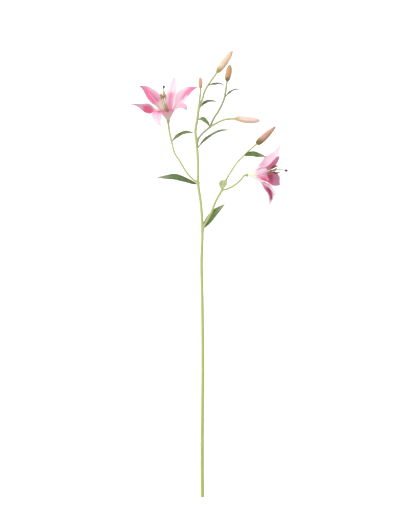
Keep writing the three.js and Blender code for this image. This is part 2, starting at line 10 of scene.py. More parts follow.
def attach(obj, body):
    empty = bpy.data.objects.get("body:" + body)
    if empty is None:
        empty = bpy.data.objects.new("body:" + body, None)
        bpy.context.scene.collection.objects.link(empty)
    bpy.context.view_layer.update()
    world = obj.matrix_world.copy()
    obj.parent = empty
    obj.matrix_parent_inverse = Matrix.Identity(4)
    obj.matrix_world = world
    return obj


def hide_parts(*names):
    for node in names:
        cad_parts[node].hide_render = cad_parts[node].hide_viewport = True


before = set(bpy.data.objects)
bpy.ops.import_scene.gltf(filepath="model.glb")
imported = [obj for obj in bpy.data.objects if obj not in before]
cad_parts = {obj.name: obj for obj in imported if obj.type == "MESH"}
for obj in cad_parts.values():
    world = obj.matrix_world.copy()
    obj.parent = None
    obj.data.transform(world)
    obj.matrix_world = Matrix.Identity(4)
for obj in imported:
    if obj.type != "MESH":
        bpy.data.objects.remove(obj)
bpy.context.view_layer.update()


def in_scene(name, data):
    thing = bpy.data.objects.new(name, data)
    bpy.context.scene.collection.objects.link(thing)
    return thing


def primitive(add, name, **sizes):
    """A piece that starts from one of Blender's own meshes. add is the operator that makes it."""
    bpy.ops.object.select_all(action="DESELECT")
    add(**sizes)
    piece = bpy.context.object
    piece.name = name
    return piece


def choose(*pieces):
    bpy.ops.object.select_all(action="DESELECT")
    for piece in pieces:
        piece.select_set(True)
    bpy.context.view_layer.objects.active = pieces[0]


def modify(piece, kind, **settings):
    """Gives the active piece a modifier and applies it."""
    modifier = piece.modifiers.new(kind, kind)
    for key, value in settings.items():
        setattr(modifier, key, value)
    bpy.ops.object.modifier_apply(modifier=modifier.name)


# Camera. It looks straight down on the plant through a long lens, so the picture is the plan of the stem.
# The picture is 416 by 532 pixels, and one of them is 2.354 mm on the plant.
MM = 0.001
PIXEL = 2.354 * MM
PICTURE_HEIGHT = 532 * PIXEL
LENS = 300
PLANT_MIDDLE = 0.035
FARTHEST_SEEN = 100
camera_data = bpy.data.cameras.new("camera")
camera_data.lens = LENS
camera_data.clip_end = FARTHEST_SEEN
camera = in_scene("camera", camera_data)
bpy.context.scene.camera = camera

# The cut end of the stem is where every measure along the plant starts, in the floor's plane.
CUT_END = Vector((-0.010477, -0.525982, 0))
PICTURE_CENTRE = CUT_END + Vector((5.7 * PIXEL, 232 * PIXEL, 0))
camera_height = PLANT_MIDDLE + PICTURE_HEIGHT * LENS / camera_data.sensor_width
camera.location = PICTURE_CENTRE + Vector((0, 0, camera_height))

# Light. A white tent surrounds the table, brightest over the top left of the picture, where a soft lamp
# stands.
bpy.context.scene.view_settings.view_transform = "Standard"
LIGHT_FROM = Vector((-0.62, 0.5, 0.6)).normalized()
TENT_DIM, TENT_BRIGHT = 0.62, 1.5
world = bpy.data.worlds.new("tent")
world.use_nodes = True
tent = world.node_tree
direction = tent.nodes.new("ShaderNodeTexCoord").outputs["Generated"]
facing = tent.nodes.new("ShaderNodeVectorMath")
facing.operation = "DOT_PRODUCT"
facing.inputs[1].default_value = LIGHT_FROM
brightness = tent.nodes.new("ShaderNodeMapRange")
brightness.inputs["From Min"].default_value = -1
brightness.inputs["To Min"].default_value = TENT_DIM
brightness.inputs["To Max"].default_value = TENT_BRIGHT
tent.links.new(direction, facing.inputs[0])
tent.links.new(facing.outputs["Value"], brightness.inputs["Value"])
tent.links.new(brightness.outputs["Result"], tent.nodes["Background"].inputs["Strength"])
tent.nodes["Background"].inputs["Color"].default_value = (1, 1, 1, 1)
bpy.context.scene.world = world

LAMP_WIDTH = 1.6
LAMP_WATTS = 26
LAMP_PLACE = Vector((-1.3, 1.2, 2.6))
LAMP_AIM = Vector((0, 0.1, 0))
lamp_data = bpy.data.lights.new("soft_lamp", "AREA")
lamp_data.shape = "DISK"
lamp_data.size = LAMP_WIDTH
lamp_data.energy = LAMP_WATTS
lamp = in_scene("soft_lamp", lamp_data)
lamp.location = LAMP_PLACE
lamp.rotation_mode = "QUATERNION"
lamp.rotation_quaternion = (LAMP_AIM - LAMP_PLACE).to_track_quat("-Z", "Y")


# Finishes. A Finish is one material: its nodes are added one by one and its surface is a Principled shader.
# A Value is one socket of it, for sums.
class Finish:
    def __init__(self, name, soft=0, **constants):
        """soft is how much light the flesh takes in and scatters under its skin."""
        if soft:
            constants.update(Subsurface_Weight=soft, Subsurface_Scale=2 * MM)
        self.material = bpy.data.materials.new(name)
        self.material.use_nodes = True
        self.tree = self.material.node_tree
        self.tree.nodes.clear()
        self.shader = self.tree.nodes.new("ShaderNodeBsdfPrincipled")
        output = self.tree.nodes.new("ShaderNodeOutputMaterial")
        self.tree.links.new(self.shader.outputs[0], output.inputs["Surface"])
        self.connect(self.shader, {key.replace("_", " "): value for key, value in constants.items()})

    def connect(self, node, sockets):
        for key, value in sockets.items():
            if isinstance(value, Value):
                self.tree.links.new(value.socket, node.inputs[key])
            else:
                node.inputs[key].default_value = value

    def node(self, kind, settings, sockets, output=0):
        node = self.tree.nodes.new(kind)
        for key, value in settings.items():
            setattr(node, key, value)
        self.connect(node, sockets)
        return Value(self, node.outputs[output])

    def uv(self):
        return self.split(self.node("ShaderNodeUVMap", {"uv_map": "UVMap"}, {}))

    def split(self, vector):
        splitter = self.node("ShaderNodeSeparateXYZ", {}, {0: vector}).socket.node
        return [Value(self, output) for output in splitter.outputs]

    def vector(self, x, y, z=0.0):
        return self.node("ShaderNodeCombineXYZ", {}, {0: x, 1: y, 2: z})

    def place(self):
        return self.node("ShaderNodeTexCoord", {}, {}, "Object")

    def noise(self, where, scale, detail=3.0):
        sockets = {"Vector": where, "Scale": scale, "Detail": detail, "Roughness": 0.55}
        return self.node("ShaderNodeTexNoise", {}, sockets)

    def mix(self, share, first, second):
        first, second = ((*each, 1) if isinstance(each, tuple) else each for each in (first, second))
        return self.node("ShaderNodeMix", {"data_type": "RGBA"}, {0: share, 6: first, 7: second}, 2)

    def surface(self, colour, roughness, height=None, distance=0, strength=0):
        """Gives the shader its colour and roughness, and a bump where there is a height."""
        sockets = {"Base Color": colour, "Roughness": roughness}
        if height is not None:
            relief = {"Height": height, "Distance": distance, "Strength": strength}
            sockets["Normal"] = self.node("ShaderNodeBump", {}, relief)
        self.connect(self.shader, sockets)


class Value:
    def __init__(self, finish, socket):
        self.finish = finish
        self.socket = socket

    def math(self, operation, *sockets):
        return self.finish.node("ShaderNodeMath", {"operation": operation}, dict(enumerate(sockets)))

    def __add__(self, other):
        return self.math("ADD", self, other)

    def __sub__(self, other):
        return self.math("SUBTRACT", self, other)

    def __rsub__(self, other):
        return self.math("SUBTRACT", other, self)

    def __mul__(self, other):
        return self.math("MULTIPLY", self, other)

    def __abs__(self):
        return self.math("ABSOLUTE", self)

    def cosine(self):
        return self.math("COSINE", self)

    def step(self, low, high):
        sockets = {"Value": self, "From Min": low, "From Max": high}
        return self.finish.node("ShaderNodeMapRange", {"interpolation_type": "SMOOTHSTEP"}, sockets)


# Floor. A wide light table under the plant, of matt white acrylic lit faintly from below.
FLOOR_WIDTH = 12
floor = primitive(bpy.ops.mesh.primitive_plane_add, "floor", size=FLOOR_WIDTH)
acrylic = Finish("lit_acrylic", Base_Color=(0.98, 0.98, 0.98, 1), Roughness=0.9,
                 Emission_Color=(1, 1, 1, 1), Emission_Strength=0.3)
floor.data.materials.append(acrylic.material)


# Stem. One grown piece: the main stem, its branches and the flower stalks, swollen where they fork, with
# low bumps where leaves were stripped. Each limb is a tube along its route, and a fine remesh grows them
# together.
class Route:
    """A smooth line through points in millimetres, read by the share of its length that is passed."""

    def __init__(self, points, even=False):
        points = np.array(points, float)
        first = points[0] if even else 2 * points[0] - points[1]
        last = points[-1] if even else 2 * points[-1] - points[-2]
        points = np.vstack([first, points, last])
        share = np.linspace(0, 1, 80, endpoint=False)[:, None]
        pieces = []
        for a, b, c, d in zip(points, points[1:], points[2:], points[3:]):
            before, here, after = [
                1.0 if even else np.linalg.norm(q - p) ** 0.5 for p, q in ((a, b), (b, c), (c, d))]
            start = ((b - a) / before - (c - a) / (before + here) + (c - b) / here) * here
            stop = ((c - b) / here - (d - b) / (here + after) + (d - c) / after) * here
            cube = 2 * b - 2 * c + start + stop
            square = 3 * c - 3 * b - 2 * start - stop
            pieces.append(b + share * (start + share * (square + share * cube)))
        pieces.append(points[-2:-1])
        self.samples = np.vstack(pieces)
        self.passed = np.concatenate([[0], np.cumsum(np.linalg.norm(np.diff(self.samples, axis=0), axis=1))])
        self.length = self.passed[-1]

    def at(self, along):
        distance = np.asarray(along, float) * self.length
        return np.stack([np.interp(distance, self.passed, column) for column in self.samples.T], -1)

    def heading(self, along):
        along, near = np.asarray(along), 0.003
        ahead = self.at(np.minimum(along + near, 1)) - self.at(np.maximum(along - near, 0))
        return ahead / np.linalg.norm(ahead, axis=-1, keepdims=True)


def placed(points):
    return np.asarray(points) * MM + np.array(CUT_END)


def shown(piece, slot, *nodes):
    for polygon in piece.data.polygons:
        polygon.use_smooth = True
    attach(piece, "root")
    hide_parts(*nodes)


CUT_END_RADIUS = 4.1
TOP_RADIUS = 2.9
BRANCH_RADIUS = 2.6
PEDICEL_RADIUS = 2.1
RECEPTACLE_LENGTH = 7
FIRST_FORK = (0, 631, 34)
LEFT_FORK = (-10.1, 741.5, 37.5)
THIRD_FORK = (-12.5, 826, 41)
TOP_FORK = (-8.2, 919, 45)
LOWER_NODE = (46.4, 725, 40)
UPPER_NODE = (18.1, 873.3, 48)
# Each bloom sits at its base, and points along its heading and lift. right and down are across it.
blooms = {
    "left": {"base": np.array([-80.7, 888.6, 25.21]), "heading": math.radians(95), "lift": math.radians(20)},
    "right": {"base": np.array([106.4, 760.3, 44.52]), "heading": math.radians(6), "lift": math.radians(12)},
}
for bloom in blooms.values():
    turn, lift = bloom["heading"], bloom["lift"]
    level = np.array([math.cos(turn), math.sin(turn), 0])
    bloom["axis"] = level * math.cos(lift) + [0, 0, math.sin(lift)]
    bloom["right"] = np.cross(level, [0, 0, 1])
    bloom["down"] = np.cross(bloom["axis"], bloom["right"])


def entry(bloom):
    return [tuple(bloom["base"] - distance * bloom["axis"]) for distance in (RECEPTACLE_LENGTH, 1)]


# Each limb has its radius at both ends, and its middle line from its foot up.
limbs = {
    "main": ((CUT_END_RADIUS, TOP_RADIUS), [
        (0, 0, 3.9), (-0.5, 106, 9.2), (1.2, 318, 19.6), (-0.2, 466, 26.6), (-1.9, 551, 30.5), FIRST_FORK,
        (-3.3, 690, 36), LEFT_FORK, (-10.1, 784, 39.4), THIRD_FORK, (-16, 866, 42.8), (-12, 890, 43.8),
        TOP_FORK]),
    "left_bloom": ((PEDICEL_RADIUS, PEDICEL_RADIUS), [
        LEFT_FORK, (-24.2, 752.1, 38), (-38.4, 768.6, 37), (-52.5, 792.1, 35), (-65.4, 812.1, 32.5),
        (-72.2, 838, 29), (-77.5, 862, 26), *entry(blooms["left"])]),
    "right_branch": ((BRANCH_RADIUS, BRANCH_RADIUS), [
        FIRST_FORK, (8.7, 650, 35.5), (20.5, 671, 37), (31, 697, 38.5), LOWER_NODE]),
    "right_bloom": ((PEDICEL_RADIUS, PEDICEL_RADIUS), [
        LOWER_NODE, (58.1, 727.2, 40), (76, 736.5, 39), (91, 749.5, 38), *entry(blooms["right"])]),
    "right_bud": ((PEDICEL_RADIUS, 1.8), [
        LOWER_NODE, (55.8, 748.6, 42), (69.9, 772, 44.5), (84, 792, 47), (103, 811, 49.5), (128, 833.3, 52)]),
    "upper_branch": ((PEDICEL_RADIUS, PEDICEL_RADIUS), [
        THIRD_FORK, (-9.3, 845, 43.5), (-0.7, 856.4, 45.5), UPPER_NODE]),
    "upper_right_bud": ((PEDICEL_RADIUS, PEDICEL_RADIUS), [
        UPPER_NODE, (25.2, 889.8, 50.5), (39.3, 912.2, 54), (49.9, 934.5, 57), (54.6, 955.7, 59),
        (58.1, 980.4, 60.5)]),
    "level_bud": ((PEDICEL_RADIUS, PEDICEL_RADIUS), [
        UPPER_NODE, (37, 884, 49.5), (55.8, 891, 50), (76.5, 892.2, 49.5)]),
    "small_bud": ((PEDICEL_RADIUS, PEDICEL_RADIUS), [
        TOP_FORK, (-6.4, 937, 46.5), (-4.2, 956, 48.5), (-4.2, 964, 49.5)]),
    "top_bud": ((PEDICEL_RADIUS, PEDICEL_RADIUS), [
        TOP_FORK, (-0.2, 937, 47), (5.2, 956, 50), (13.4, 971, 52.5), (27.5, 991, 55.5), (34.6, 1001, 57)]),
}
routes = {name: Route(points) for name, (radii, points) in limbs.items()}


def tube(points, radii):
    """A closed round tube through points in millimetres, as its own mesh object."""
    line = bpy.data.curves.new("tube", "CURVE")
    line.dimensions = "3D"
    line.bevel_depth = MM
    line.bevel_resolution = 5
    line.use_fill_caps = True
    spline = line.splines.new("POLY")
    spline.points.add(len(points) - 1)
    for knot, at, radius in zip(spline.points, placed(points), radii):
        knot.co = (*at, 1)
        knot.radius = radius
    piece = in_scene("tube", line)
    choose(piece)
    bpy.ops.object.convert(target="MESH")
    return bpy.context.object


def bump_ball(centre, radius, stretch):
    sphere = bpy.ops.mesh.primitive_uv_sphere_add
    ball = primitive(sphere, "bump", segments=20, ring_count=12, radius=radius * MM)
    ball.scale = stretch
    ball.location = placed(centre)
    bpy.ops.object.transform_apply(location=True, rotation=True, scale=True)
    return ball


TUBE_STEP = 3
CONE_HEIGHTS = np.array([-9, -7, -5, -3, -1.2, -0.4, 0])
CONE_RADII = [1.9, 2.4, 2.9, 3.5, 4.3, 4.6, 4.2]
stem_parts = []
for name, (radii, points) in limbs.items():
    along = np.linspace(0, 1, int(routes[name].length / TUBE_STEP) + 2)
    thickness = radii[0] + (radii[1] - radii[0]) * along
    stem_parts.append(tube(routes[name].at(along), thickness))
for bloom in blooms.values():
    stem_parts.append(tube(bloom["base"] + CONE_HEIGHTS[:, None] * bloom["axis"], CONE_RADII))
swellings = [(FIRST_FORK, 4.4), (LEFT_FORK, 4), (THIRD_FORK, 3.9), (TOP_FORK, 3.4), (LOWER_NODE, 3),
             (UPPER_NODE, 2.7)]
for fork, radius in swellings:
    stem_parts.append(bump_ball(fork, radius, (1, 1.4, 1)))
SCAR_HEIGHTS = [125, 395, 454, 532]
SCAR_RADIUS = 2.4
SCAR_SUNK = 0.55
for index, height in enumerate(SCAR_HEIGHTS):
    along = height / routes["main"].length
    radius = CUT_END_RADIUS + (TOP_RADIUS - CUT_END_RADIUS) * along
    offset = (1 if index % 2 else -1) * (radius - SCAR_SUNK * SCAR_RADIUS)
    stem_parts.append(bump_ball(routes["main"].at(along) + [offset, 0, 0], SCAR_RADIUS, (0.8, 1.5, 0.8)))
LEAF_FEET = [
    (-13.9, 739, 38.7), (-70.7, 840.2, 30.5), (2.6, 634.4, 31.4), (46.4, 728, 42.4), (100, 805.4, 50.7),
    (-8.4, 826.6, 41.8), (16.3, 875.9, 49.1), (55.4, 944.5, 58.8), (-4, 920.8, 46.3), (16.5, 971.3, 52.3)]
CUSHION_RADIUS = 1.4
for foot in LEAF_FEET:
    stem_parts.append(bump_ball(foot, CUSHION_RADIUS, (1, 1.2, 1)))

SKIN_GRAIN = 0.75
SKIN_SWELL = 0.3
choose(*stem_parts)
bpy.ops.object.join()
stem = bpy.context.object
stem.name = "stem_skin"
modify(stem, "REMESH", mode="VOXEL", voxel_size=SKIN_GRAIN * MM)
modify(stem, "SMOOTH", factor=0.5, iterations=4)
modify(stem, "DISPLACE", strength=SKIN_SWELL * MM, mid_level=0)

# The stem's cut end is sliced flat and straight across.
CUT_DEPTH = 0.5
bpy.ops.object.mode_set(mode="EDIT")
bpy.ops.mesh.select_all(action="SELECT")
cut_heading = routes["main"].heading(0.001)
bpy.ops.mesh.bisect(
    plane_co=placed(routes["main"].at(0) + CUT_DEPTH * cut_heading), plane_no=cut_heading,
    use_fill=True, clear_inner=True)
bpy.ops.object.mode_set(mode="OBJECT")

# Every point of the skin learns how far up the plant it is and on which side of its limb, for grain that
# follows the stalks and for painted shade on one side of each limb and painted light on the other, and how
# old and dark its limb is. Knots on the middle lines hold these facts, and a limb goes on from the knot
# nearest to its foot.
KNOT_STEP = 0.5
DARK_REACH, DARK_FADE = 2.4, 50
old_growth = {"upper_right_bud": 1, "upper_branch": 0.8, "top_bud": 0.45, "level_bud": 0.3, "small_bud": 0.25}
knots = kdtree.KDTree(sum(int(route.length / KNOT_STEP) + 1 for route in routes.values()))
knot_facts = []
for name, route in routes.items():
    below = 0
    if knot_facts:
        below = min(knot_facts, key=lambda fact: np.linalg.norm(fact[0] - route.at(0)))[3]
    for travelled in np.arange(0, route.length, KNOT_STEP):
        centre = route.at(travelled / route.length)
        heading = route.heading(travelled / route.length)
        side = np.cross(heading, [0, 0, 1])
        side /= np.linalg.norm(side)
        knots.insert(centre, len(knot_facts))
        old = old_growth.get(name, 0) * float(np.clip(DARK_REACH - travelled / DARK_FADE, 0, 1))
        knot_facts.append((centre, side, np.cross(side, heading), below + travelled, old))
knots.balance()
# The skin is flat where it lies on the table.
grain_values, ages = [], []
for vertex in stem.data.vertices:
    vertex.co.z = max(vertex.co.z, 0)
    local = (np.array(vertex.co) - np.array(CUT_END)) / MM
    centre, side, up, travelled, old = knot_facts[knots.find(local)[1]]
    around = math.atan2(np.dot(local - centre, up), np.dot(local - centre, side))
    grain_values += [math.cos(around), math.sin(around), travelled * MM]
    ages.append(old)
stem.data.attributes.new("grain", "FLOAT_VECTOR", "POINT").data.foreach_set("vector", grain_values)
stem.data.attributes.new("age", "FLOAT", "POINT").data.foreach_set("value", ages)

LOW_GREEN = (0.29, 0.335, 0.065)
HIGH_GREEN = (0.335, 0.37, 0.16)
STREAK_GREEN = (0.42, 0.46, 0.21)
PATCH_GREEN = (0.23, 0.29, 0.08)
# Painted shade and painted light: each limb is darker on one side and paler on the other, as if lit from one
# side.
PAINTED_SHADE_GREEN = (0.25, 0.29, 0.08)
PAINTED_LIGHT_GREEN = (0.52, 0.56, 0.31)
OLD_GREEN = (0.14, 0.16, 0.07)
PITH_DARK = (0.50, 0.58, 0.25)
PITH_PALE = (0.80, 0.84, 0.60)
stem_finish = Finish("stem_green", soft=0.12, Specular_IOR_Level=0.4)
place = stem_finish.place()
_, up_plant, _ = stem_finish.split(place)
fibres = stem_finish.node("ShaderNodeAttribute", {"attribute_name": "grain"}, {}, "Vector")
to_right, to_top, passed = stem_finish.split(fibres)
streaks = stem_finish.noise(stem_finish.vector(to_right * 9, to_top * 9, passed * 22), 1.0, 4.0)
patches = stem_finish.noise(place, 26.0, 2.0)
old = stem_finish.node("ShaderNodeAttribute", {"attribute_name": "age"}, {}, "Fac")
green = stem_finish.mix(up_plant.step(-0.45, 0.45), LOW_GREEN, HIGH_GREEN)
green = stem_finish.mix(streaks.step(0.35, 0.75), green, STREAK_GREEN)
green = stem_finish.mix(patches.step(0.55, 0.8) * 0.5, green, PATCH_GREEN)
# Painted shade on one side of each limb, and painted light on the other.
green = stem_finish.mix((to_right + streaks * 0.4).step(0.2, 1.1) * 0.6, green, PAINTED_SHADE_GREEN)
green = stem_finish.mix((streaks * 0.4 - to_right).step(0.5, 1.2) * 0.4, green, PAINTED_LIGHT_GREEN)
green = stem_finish.mix(old * (streaks * 0.5 + 0.4), green, OLD_GREEN)
stem_finish.surface(green, streaks * 0.2 + 0.42, streaks, 0.0004, 0.6)
pith = Finish("cut_pith", soft=0.2)
vessels = pith.node("ShaderNodeTexVoronoi", {}, {"Vector": pith.place(), "Scale": 1500.0})
pith.surface(pith.mix(vessels.step(0.1, 0.5), PITH_DARK, PITH_PALE), 0.65, vessels, 0.0003, 0.5)
stem.data.materials.clear()
stem.data.materials.append(stem_finish.material)
stem.data.materials.append(pith.material)
shown(stem, "stem_green", "stem")
CUT_REACH = 3 * MM
for polygon in stem.data.polygons:
    if polygon.normal.dot(Vector(cut_heading)) < -0.98 and polygon.center.y < CUT_END.y + CUT_REACH:
        polygon.material_index = 1
        polygon.use_smooth = False


# Leaves. Each is a thin lance-shaped blade folded along its midrib, with waved margins and a narrow foot that
# clasps the stalk. The upper side is mid green and satin, the under side is paler and duller.
def outline(along, half_width, base_rise, tip_taper):
    """Half width of a blade: it rises from a narrow base and runs out to a point."""
    start = 0.03
    widest = (base_rise - start * tip_taper) / (base_rise + tip_taper)

    def shape(x):
        return (x + start) ** base_rise * (1 - x) ** tip_taper

    return half_width * shape(along) / shape(widest)


def smoothstep(low, high, value):
    share = np.clip((np.asarray(value, float) - low) / (high - low), 0, 1)
    return share * share * (3 - 2 * share)


def sheet(name, grid, thickness, margin, finishes):
    """A thin closed blade. grid holds its middle surface in metres: rows from base to tip, columns across."""
    rows, columns = grid.shape[:2]
    plane = bpy.ops.mesh.primitive_grid_add
    piece = primitive(plane, name, x_subdivisions=columns - 1, y_subdivisions=rows - 1, size=1)
    flat = np.empty(3 * len(piece.data.vertices))
    piece.data.vertices.foreach_get("co", flat)
    flat = flat.reshape(-1, 3) + 0.5
    column = np.rint((1 - flat[:, 0]) * (columns - 1)).astype(int)
    row = np.rint(flat[:, 1] * (rows - 1)).astype(int)
    piece.data.vertices.foreach_set("co", grid[row, column].ravel())
    group = piece.vertex_groups.new(name="body")
    across = np.abs(2 * column / (columns - 1) - 1)
    for index, weight in enumerate(1 - across ** 4):
        group.add([index], float(weight), "REPLACE")
    for finish in finishes:
        piece.data.materials.append(finish.material)
    modify(piece, "SOLIDIFY", thickness=thickness, offset=0, vertex_group="body",
           thickness_vertex_group=margin, material_offset=1, material_offset_rim=1)
    modify(piece, "SUBSURF", levels=1, render_levels=1)
    return piece


def blade_grid(centre, side, face, widths, bend, heights, across):
    """Points of a blade in millimetres from its stations, bent across like a trough and raised by heights."""
    reach = across * np.where(across < 0, widths[:, :1], widths[:, 1:])
    bend = np.maximum(bend, 1e-6)[:, None]
    sideways = np.sin(bend * reach) / bend
    rise = (1 - np.cos(bend * reach)) / bend + heights
    return centre[:, None] + side[:, None] * sideways[..., None] + face[:, None] * rise[..., None]


TIP_GREEN = (0.36, 0.39, 0.27)


def leaf_finish(name, fresh, deep, pale, tint=(1, 1, 1)):
    """One side of a leaf: fresh is its skin, deep its darker mottle and the painted shade at its foot and
    margins, pale its veins.
    """
    fresh, deep, pale = (tuple(np.multiply(green, tint)) for green in (fresh, deep, pale))
    finish = Finish(name, soft=0.08, Specular_IOR_Level=0.45)
    across, along, _ = finish.uv()
    spread = abs(across * 2 - 1)
    veins = finish.noise(finish.vector(across * 46, along * 1.2), 1.0, 2.0)
    mottle = finish.noise(finish.place(), 120.0, 3.0)
    green = finish.mix(mottle.step(0.3, 0.75), deep, fresh)
    green = finish.mix(veins.step(0.5, 0.8) * 0.45, green, pale)
    green = finish.mix((1 - spread.step(0.02, 0.12)) * 0.7, green, pale)
    # Painted shade along the margins.
    green = finish.mix(spread.step(0.8, 1.0) * 0.5, green, deep)
    green = finish.mix((along + veins * 0.2).step(0.65, 1.05) * 0.45, green, TIP_GREEN)
    # Painted shade at the foot, where the blade meets the stalk.
    green = finish.mix((1 - along.step(0.0, 0.14)) * 0.8, green, deep)
    finish.surface(green, veins * 0.2 + 0.36, veins, 0.0005, 0.5)
    return finish


LEAF_THICKNESS = 0.7
LEAF_CHANNEL = 0.16
LEAF_RIPPLE = 0.09
LEAF_WAVES = 1.6
LEAF_FOOT = 1.5
LEAF_MARGIN = 0.5
LEAF_ROWS, LEAF_COLUMNS = 45, 15
NARROWEST_HALF = 0.25
greens = [(0.115, 0.175, 0.045), (0.055, 0.095, 0.026), (0.21, 0.27, 0.10)]
leaf_tints = [(0.76, 0.82, 0.74), (1.1, 1.05, 0.85), (1.25, 1.3, 1.1), None, (0.78, 0.92, 0.45),
              (0.85, 0.82, 0.75), (1.4, 1.35, 1), (0.75, 0.75, 0.65), (0.6, 0.66, 0.5), (0.7, 0.74, 0.6)]
leaf_under = leaf_finish("leaf_green_under", (0.15, 0.20, 0.08), (0.08, 0.12, 0.045), (0.24, 0.28, 0.14))
young_top = leaf_finish("young_leaf_top", (0.50, 0.55, 0.28), (0.30, 0.34, 0.15), (0.62, 0.66, 0.42))
# Each leaf has its midrib's route, the length of its foot that is hidden, its width, its roll at foot and tip
# in degrees, and how much its margins wave.
leaves = [
    ([(-9.6, 737.5, 37.3), (-28, 744, 43), (-47.8, 751.5, 47), (-64.3, 755.6, 47), (-80.7, 755.2, 42),
      (-107.8, 754.7, 30)], 5.8, 15.5, (35, 15), 1),
    ([(-72.4, 838.5, 29.5), (-66.6, 844.5, 33), (-59.6, 851.4, 38), (-50.1, 856.9, 42), (-38.4, 860.2, 44),
      (-19.5, 859.7, 43)], 3.5, 13, (-48, -42), 1),
    ([(0, 629, 34), (7, 643, 27.5), (16.9, 657, 24.5), (27.5, 670.5, 24.5), (38.1, 680.3, 27),
      (53.4, 692.1, 31)], 7.7, 17, (-15, 15), 1),
    ([LOWER_NODE, (46.5, 731, 45), (48.5, 740, 54), (52, 747, 65), (57.5, 748, 77)], 4.4, 19, (0, 20), 0.5),
    ([(94, 802.3, 48.2), (107.6, 808.6, 54), (119.3, 809.8, 61), (131.1, 807.9, 67), (140.5, 805.1, 70),
      (149.5, 802, 71)], 8.2, 14, (30, 25), 1),
    ([(-12.3, 822, 41), (0.5, 837, 43.5), (8.7, 845.1, 45.5), (18.1, 852.1, 49), (41.7, 863.2, 54),
      (67.6, 866.7, 51)], 7.2, 13, (-56, -62), 1),
    ([UPPER_NODE, (9.9, 885.1, 53), (2.8, 890.3, 56), (-4.2, 891, 57.5), (-13, 889.6, 57)],
     4.2, 13, (35, 45), 1),
    ([(51.5, 938.5, 57.4), (55.8, 945.1, 59), (62.9, 952.9, 62), (69.9, 957.4, 64.5), (79.3, 960.4, 65),
      (91.1, 960.7, 62)], 8.3, 10, (-58, -62), 1),
    ([(-8.3, 917, 45), (-1.9, 922.8, 47), (5.2, 929.8, 50), (13.4, 933.4, 52), (22.8, 933.4, 51),
      (35.8, 933.1, 46)], 7.1, 12, (-45, -60), 1),
    ([(11.6, 968, 52), (18.1, 972.2, 52.5), (27.5, 973.9, 53.5), (38.1, 975.1, 53), (46.4, 972.7, 50.5),
      (54.6, 967.5, 46)], 7, 9.5, (-50, -60), 1),
]
for number, (midrib, foot, width, roll, wave) in enumerate(leaves, 1):
    route = Route(midrib)
    u = np.linspace(0, 1, LEAF_ROWS)
    across = np.linspace(-1, 1, LEAF_COLUMNS)
    foot_share = foot / route.length
    along = foot_share + (1 - foot_share) * u
    centre = route.at(along)
    heading = route.heading(along)
    ahead = (route.at(1) - route.at(0)) * [1, 1, 0]
    leftward = np.cross([0, 0, 1], ahead / np.linalg.norm(ahead))
    side = leftward - heading * (heading @ leftward)[:, None]
    side /= np.linalg.norm(side, axis=1, keepdims=True)
    face = np.cross(heading, side)
    turned = np.radians(roll[0] + (roll[1] - roll[0]) * along)[:, None]
    side, face = side * np.cos(turned) + face * np.sin(turned), face * np.cos(turned) - side * np.sin(turned)
    half = np.maximum(LEAF_FOOT * (1 - u), outline(u, width / 2, 0.7, 0.85))
    half = np.maximum(half, NARROWEST_HALF)
    half[:3] = np.maximum(half[:3], LEAF_FOOT)
    phase = 2 * math.pi * LEAF_WAVES * u[:, None] + np.where(across > 0, 0, 1.7)
    ripple = wave * LEAF_RIPPLE * width * across ** 2 * np.sin(phase) * smoothstep(0.1, 0.3, u)[:, None]
    channel = LEAF_CHANNEL * half[:, None] * np.abs(across) ** 1.25
    heights = channel + ripple * (1 - u[:, None] ** 4)
    points = blade_grid(centre, side, face, np.stack([half, half], 1), np.zeros(len(u)), heights, across)
    tint = leaf_tints[number - 1]
    leaf_top = leaf_finish(f"leaf_{number}_green", *greens, tint) if tint else young_top
    leaf_skin = sheet(f"leaf_{number}_skin", placed(points), LEAF_THICKNESS * MM, LEAF_MARGIN,
                      [leaf_top, leaf_under])
    shown(leaf_skin, "leaf_green", f"leaf_{number}")


# Closed buds. Three outer tepals are pressed edge to edge round the rest, so each bud has three ribs with a
# seam between them. They are olive green at the foot and ripen to peach and pink.
def round_body(name, finish, route, radius_at, sides, rings, spacing=None):
    """A closed round body along a route in millimetres. radius_at takes the share passed and the angle.

    spacing gives the shares at which the rings lie, where they aren't even.
    """
    sphere = bpy.ops.mesh.primitive_uv_sphere_add
    piece = primitive(sphere, name, segments=sides, ring_count=rings, radius=1)
    points = np.empty(3 * len(piece.data.vertices))
    piece.data.vertices.foreach_get("co", points)
    points = points.reshape(-1, 3)
    along = 1 - np.arccos(np.clip(points[:, 2], -1, 1)) / math.pi
    around = -np.arctan2(points[:, 1], points[:, 0])
    on_axis = np.hypot(points[:, 0], points[:, 1]) < 1e-4
    if spacing is not None:
        along = np.interp(along, np.linspace(0, 1, len(spacing)), spacing)
    heading = route.heading(along)
    side = np.cross(heading, [0, 0, 1])
    side /= np.linalg.norm(side, axis=1, keepdims=True)
    up = np.cross(side, heading)
    radius = np.where(on_axis, 0, radius_at(along, around))[:, None]
    centre = route.at(along)
    skin = centre + radius * (side * np.cos(around)[:, None] + up * np.sin(around)[:, None])
    piece.data.vertices.foreach_set("co", placed(skin).ravel())
    piece.data.update()
    piece.data.materials.append(finish.material)
    return piece


BUD_STREAK = (0.72, 0.60, 0.44)


